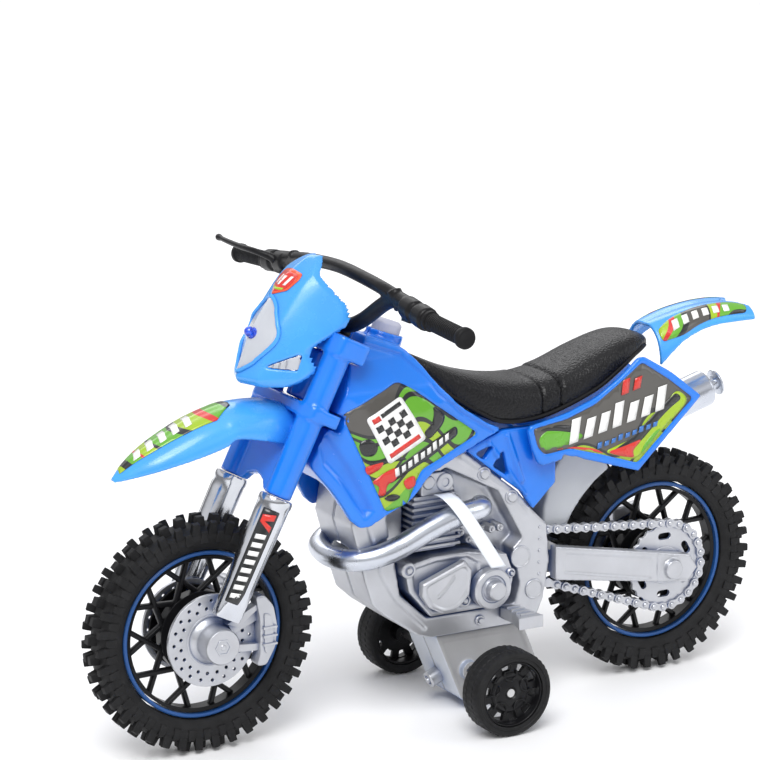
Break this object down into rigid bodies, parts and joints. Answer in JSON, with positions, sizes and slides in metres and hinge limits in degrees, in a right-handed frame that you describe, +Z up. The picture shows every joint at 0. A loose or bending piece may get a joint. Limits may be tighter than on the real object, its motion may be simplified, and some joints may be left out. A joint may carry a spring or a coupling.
{
  "type": "toy motorcycle",
  "caption": "Toy motocross bike with steering fork, spoked wheels, small friction-drive wheels under the engine and a light and sound button on the tank.",
  "frame": {"origin": "on the ground, midway between the two wheel axles, in the middle plane of the bike", "axes": "+X forwards, +Y to the rider's left (the chain side), +Z up"},
  "size_m": [0.269, 0.1664, 0.1698],
  "materials": {
    "blue_shell": "glossy mid-blue moulded plastic",
    "pale_blue_shell": "glossy light-blue moulded plastic",
    "silver_plastic": "satin silver paint on plastic",
    "bright_plating": "bright vacuum plating",
    "motor_grey": "matt grey plastic",
    "black_gloss": "satin black plastic",
    "black_grain": "black plastic with a fine leather-like grain",
    "tyre_rubber": "matt black soft tyre with blocks",
    "rim_blue": "dark blue painted rim",
    "steel_rod": "plain bright steel",
    "lens_silver": "silver-white sticker under clear gloss",
    "led_blue": "clear blue bulb",
    "fender_grey": "light grey plastic",
    "cap_grey": "pale grey plastic button",
    "gear_nylon": "natural nylon",
    "board_green": "green circuit board",
    "film_white": "milky plastic film"
  },
  "bodies": {
    "chassis": {"battery_door": "silver_plastic", "battery_tab": "film_white", "button_cells": "steel_rod", "button_switch": "board_green", "chain_and_sprocket": "silver_plastic", "clutch_cover": "silver_plastic", "crankcase": "silver_plastic", "cylinder": "silver_plastic", "engine_frame_left": "silver_plastic", "engine_frame_right": "silver_plastic", "exhaust_header": "bright_plating", "footpeg_left": "silver_plastic", "footpeg_right": "silver_plastic", "frame_screw": "steel_rod", "inner_fender": "fender_grey", "motor_box_left": "motor_grey", "motor_box_right": "motor_grey", "muffler": "bright_plating", "rear_axle": "steel_rod", "rear_brake": "silver_plastic", "rear_panel_left": "blue_shell", "rear_panel_right": "blue_shell", "right_cover": "silver_plastic", "seat": "black_grain", "sound_board": "board_green", "speaker": "black_gloss", "steering_pin": "steel_rod", "swingarm": "silver_plastic", "tail_fender": "pale_blue_shell", "tank_shell_left": "blue_shell", "tank_shell_right": "blue_shell", "teardrop_cover": "silver_plastic"},
    "fork": {"fork_upper": "blue_shell", "fork_leg_left": "bright_plating", "fork_leg_right": "bright_plating", "front_brake_left": "silver_plastic", "front_brake_right": "silver_plastic", "front_axle": "steel_rod", "front_mudguard": "pale_blue_shell", "headlight_mask": "pale_blue_shell", "headlight_lens": "lens_silver", "headlight_led": "led_blue", "handlebar": "black_gloss", "grip_left": "black_grain", "grip_right": "black_grain", "brake_lever": "black_gloss"},
    "front_wheel": {"front_tyre": "tyre_rubber", "front_rim": "rim_blue", "front_spoked_wheel": "black_gloss"},
    "rear_wheel": {"rear_tyre": "tyre_rubber", "rear_rim": "rim_blue", "rear_spoked_wheel": "black_gloss"},
    "drive": {"drive_axle": "steel_rod", "drive_hub_left": "black_gloss", "drive_hub_right": "black_gloss", "drive_tyre_left": "tyre_rubber", "drive_tyre_right": "tyre_rubber"},
    "idler": {"idler_gear": "gear_nylon"},
    "flywheel": {"flywheel": "steel_rod"},
    "button": {"sound_button": "cap_grey"}
  },
  "joints": [
    {"name": "steering", "type": "hinge", "parent": "chassis", "child": "fork", "pos_m": [0.04, 0, 0.143], "axis": [-0.4462, 0, 0.8949], "range_deg": [-9, 9]},
    {"name": "front_wheel_spin", "type": "hinge", "parent": "fork", "child": "front_wheel", "pos_m": [0.0925, 0, 0.042], "axis": [0, 1, 0], "continuous": true},
    {"name": "rear_wheel_spin", "type": "hinge", "parent": "chassis", "child": "rear_wheel", "pos_m": [-0.0925, 0, 0.042], "axis": [0, 1, 0], "continuous": true},
    {"name": "drive_spin", "type": "hinge", "parent": "chassis", "child": "drive", "pos_m": [-0.0084, 0, 0.0155], "axis": [0, 1, 0], "continuous": true},
    {"name": "idler_spin", "type": "hinge", "parent": "chassis", "child": "idler", "pos_m": [-0.01702, 0, 0.0155], "axis": [0, 1, 0], "continuous": true},
    {"name": "flywheel_spin", "type": "hinge", "parent": "chassis", "child": "flywheel", "pos_m": [-0.02602, 0, 0.0155], "axis": [0, 1, 0], "continuous": true},
    {"name": "button_press", "type": "slide", "parent": "chassis", "child": "button", "axis": [0.342, 0, -0.9397], "range_m": [0, 0.0015], "stiffness_N_per_m": 300, "springref_m": -0.001}
  ],
  "couplings": [
    {"joint": "idler_spin", "follows": "drive_spin", "ratio": -1.0909},
    {"joint": "flywheel_spin", "follows": "drive_spin", "ratio": 2.1818}
  ]
}
